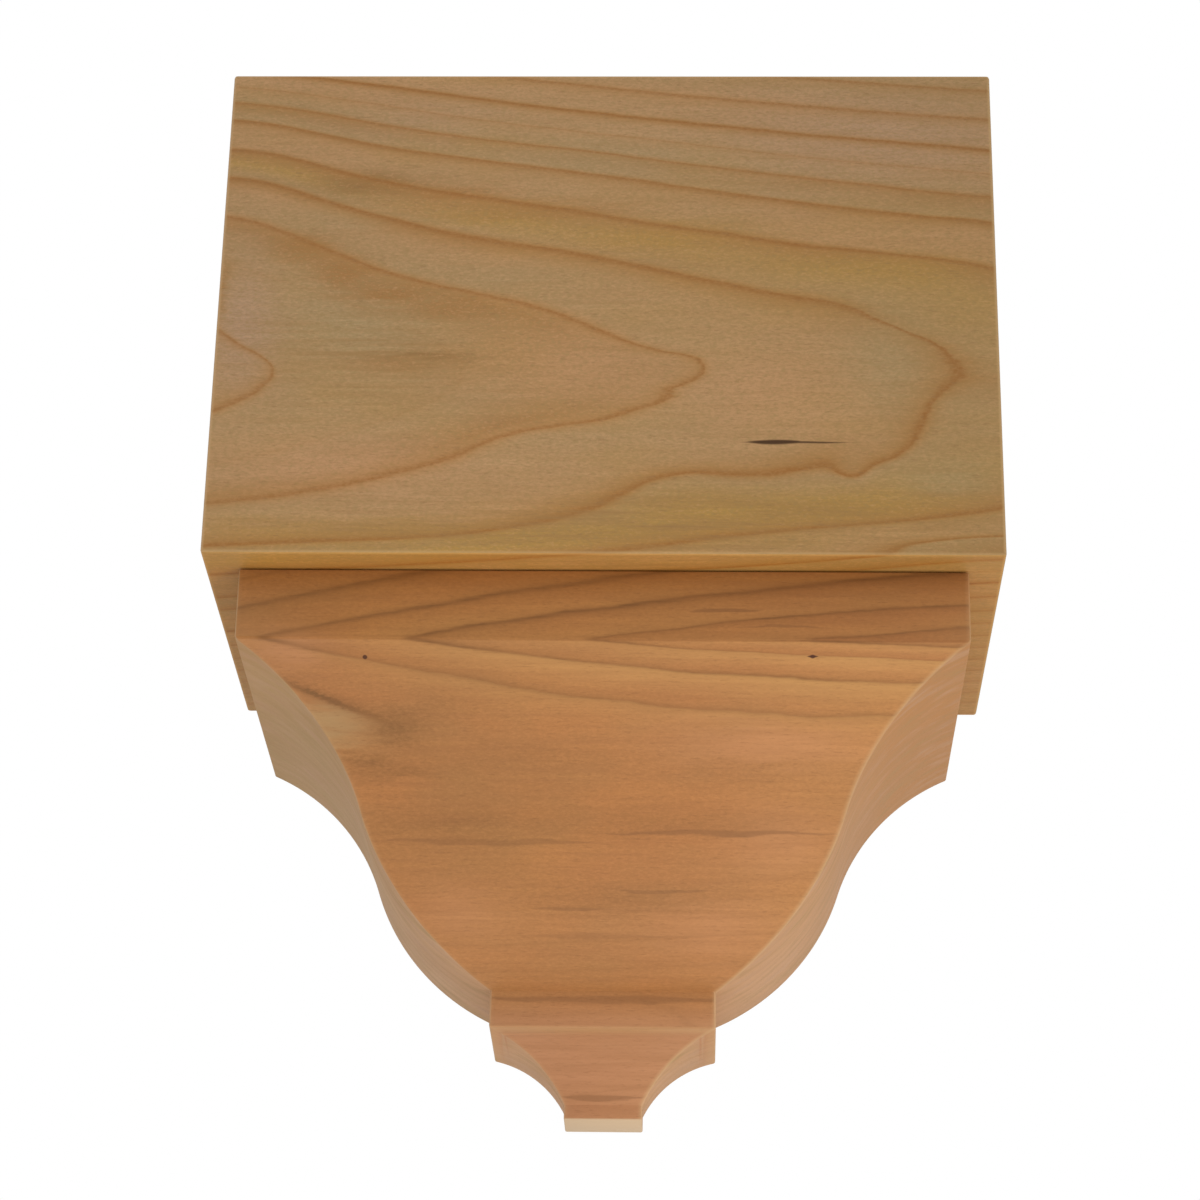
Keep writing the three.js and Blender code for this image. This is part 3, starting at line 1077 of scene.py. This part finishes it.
class CORNERBLOCK_OT_head(Operator):
    """Makes the plain head block with its eased edges and pale flat-sawn cherry"""

    bl_idname = "cornerblock.head"
    bl_label = "Head block"

    def execute(self, context):
        settings = context.scene.cornerblock_head
        piece = finish_mesh(head_shape(settings.arris), "sanded_head_block", head_wood(settings))
        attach(piece, ROOT)
        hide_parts("head_block")
        return {"FINISHED"}


class CORNERBLOCK_OT_drop(Operator):
    """Makes the drop with its mitred mouldings and orange cherry"""

    bl_idname = "cornerblock.drop"
    bl_label = "Moulded drop"

    def execute(self, context):
        settings = context.scene.cornerblock_drop
        piece = finish_mesh(drop_shape(settings.arris), "sanded_profiled_drop", drop_wood(settings))
        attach(piece, ROOT)
        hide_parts("profiled_drop")
        return {"FINISHED"}


# Where the camera stands, in metres, in front of the block and below it
CAMERA_PLACE = Vector((0.0159, -0.5772, -0.2913))
# The floor: how far below the block it lies and how wide it is, in metres, and its two shades
FLOOR_DROP, FLOOR_SPAN = 1.5, 6.0
FLOOR_SHADES = ((0.78, 0.78, 0.78), (0.82, 0.82, 0.82))
# The two lights: where each is, how wide, in metres, and its colour; both are aimed at the block's middle
LIGHT_AIM = Vector((0.0, -0.03, -0.04))
KEY_PLACE, KEY_SIZE, KEY_COLOUR = (1.04, -1.0, -0.98), 0.5, (1.0, 0.95, 0.87)
LOW_PLACE, LOW_SIZE, LOW_COLOUR = (0.1, -0.15, -1.25), 0.9, (1.0, 1.0, 1.0)


def add_camera(settings):
    """A camera at the photograph's place and angle."""
    camera = bpy.data.cameras.new("photo_camera")
    camera.sensor_width = 36.0
    camera.lens = settings.lens
    camera.clip_start = 0.01
    camera.clip_end = 50.0
    holder = bpy.data.objects.new("photo_camera", camera)
    bpy.context.scene.collection.objects.link(holder)
    turn = Matrix.Rotation(settings.heading, 4, "Z") @ Matrix.Rotation(math.pi / 2 + settings.tilt, 4, "X")
    holder.matrix_world = Matrix.Translation(CAMERA_PLACE) @ turn @ Matrix.Rotation(settings.roll, 4, "Z")
    bpy.context.scene.camera = holder


def add_area_light(name, place, size, power, colour):
    """A square light aimed at the block's middle, which the camera doesn't see."""
    light = bpy.data.lights.new(name, "AREA")
    light.shape = "SQUARE"
    light.size = size
    light.energy = power
    light.color = colour
    holder = bpy.data.objects.new(name, light)
    holder.visible_camera = False
    bpy.context.scene.collection.objects.link(holder)
    towards = (LIGHT_AIM - Vector(place)).to_track_quat("-Z", "Y").to_matrix().to_4x4()
    holder.matrix_world = Matrix.Translation(Vector(place)) @ towards


def add_floor():
    """A plain pale floor well below the block."""
    height = DROP_LOW.z - FLOOR_DROP
    half = FLOOR_SPAN / 2
    mesh = bpy.data.meshes.new("studio_floor")
    corners = [(-half, -half, height), (half, -half, height), (half, half, height), (-half, half, height)]
    mesh.from_pydata(corners, [], [(0, 1, 2, 3)])
    material, sketch, shader = new_material("studio_floor")
    grey = sketch.noise(place_in_mm(sketch), scale=0.004, detail=2.0)
    sketch.feed(shader.inputs["Base Color"], sketch.mix(grey, *FLOOR_SHADES))
    shader.inputs["Roughness"].default_value = 0.9
    mesh.materials.append(material)
    floor = bpy.data.objects.new("studio_floor", mesh)
    bpy.context.scene.collection.objects.link(floor)


def add_surround(strength):
    """White all round: it looks white to the camera and lights the block more softly than that."""
    world = bpy.data.worlds.new("studio_surround")
    world.use_nodes = True
    sketch = Sketch(world.node_tree)
    world.node_tree.nodes.clear()
    seen = sketch.node("ShaderNodeLightPath").outputs["Is Camera Ray"]
    background = sketch.node("ShaderNodeBackground")
    output = sketch.node("ShaderNodeOutputWorld")
    sketch.feed(background.inputs["Color"], (1.0, 1.0, 1.0, 1.0))
    sketch.feed(background.inputs["Strength"], sketch.remap(seen, 0.0, 1.0, strength, 1.0))
    world.node_tree.links.new(background.outputs[0], output.inputs["Surface"])
    bpy.context.scene.world = world


class CORNERBLOCK_OT_studio(Operator):
    """Sets up the camera, the soft light and the pale floor"""

    bl_idname = "cornerblock.studio"
    bl_label = "Studio"

    def execute(self, context):
        settings = context.scene.cornerblock_studio
        add_camera(settings)
        add_floor()
        add_surround(settings.surround)
        add_area_light("key_light", KEY_PLACE, KEY_SIZE, settings.key_power, KEY_COLOUR)
        add_area_light("light_from_below", LOW_PLACE, LOW_SIZE, settings.low_power, LOW_COLOUR)
        context.scene.view_settings.view_transform = "Standard"
        return {"FINISHED"}


class CORNERBLOCK_PT_sidebar(Panel):
    """Lists the block's pieces and their settings"""

    bl_label = "Corner block"
    bl_idname = "CORNERBLOCK_PT_sidebar"
    bl_space_type = "VIEW_3D"
    bl_region_type = "UI"
    bl_category = "Corner block"

    def draw(self, context):
        scene = context.scene
        for operator, settings in (
            ("cornerblock.head", scene.cornerblock_head),
            ("cornerblock.drop", scene.cornerblock_drop),
            ("cornerblock.studio", scene.cornerblock_studio),
        ):
            column = self.layout.column()
            column.operator(operator)
            for name in settings.__annotations__:
                column.prop(settings, name)


SETTINGS = {
    "cornerblock_head": HeadSettings,
    "cornerblock_drop": DropSettings,
    "cornerblock_studio": StudioSettings,
}
CLASSES = (
    HeadSettings,
    DropSettings,
    StudioSettings,
    CORNERBLOCK_OT_head,
    CORNERBLOCK_OT_drop,
    CORNERBLOCK_OT_studio,
    CORNERBLOCK_PT_sidebar,
)


def register():
    for made in CLASSES:
        bpy.utils.register_class(made)
    for name, group in SETTINGS.items():
        setattr(bpy.types.Scene, name, PointerProperty(type=group))


def unregister():
    for name in SETTINGS:
        delattr(bpy.types.Scene, name)
    for made in reversed(CLASSES):
        bpy.utils.unregister_class(made)


def main():
    """Makes the studio and both pieces."""
    register()
    bpy.ops.cornerblock.studio()
    bpy.ops.cornerblock.head()
    bpy.ops.cornerblock.drop()


if __name__ == "__main__":
    main()
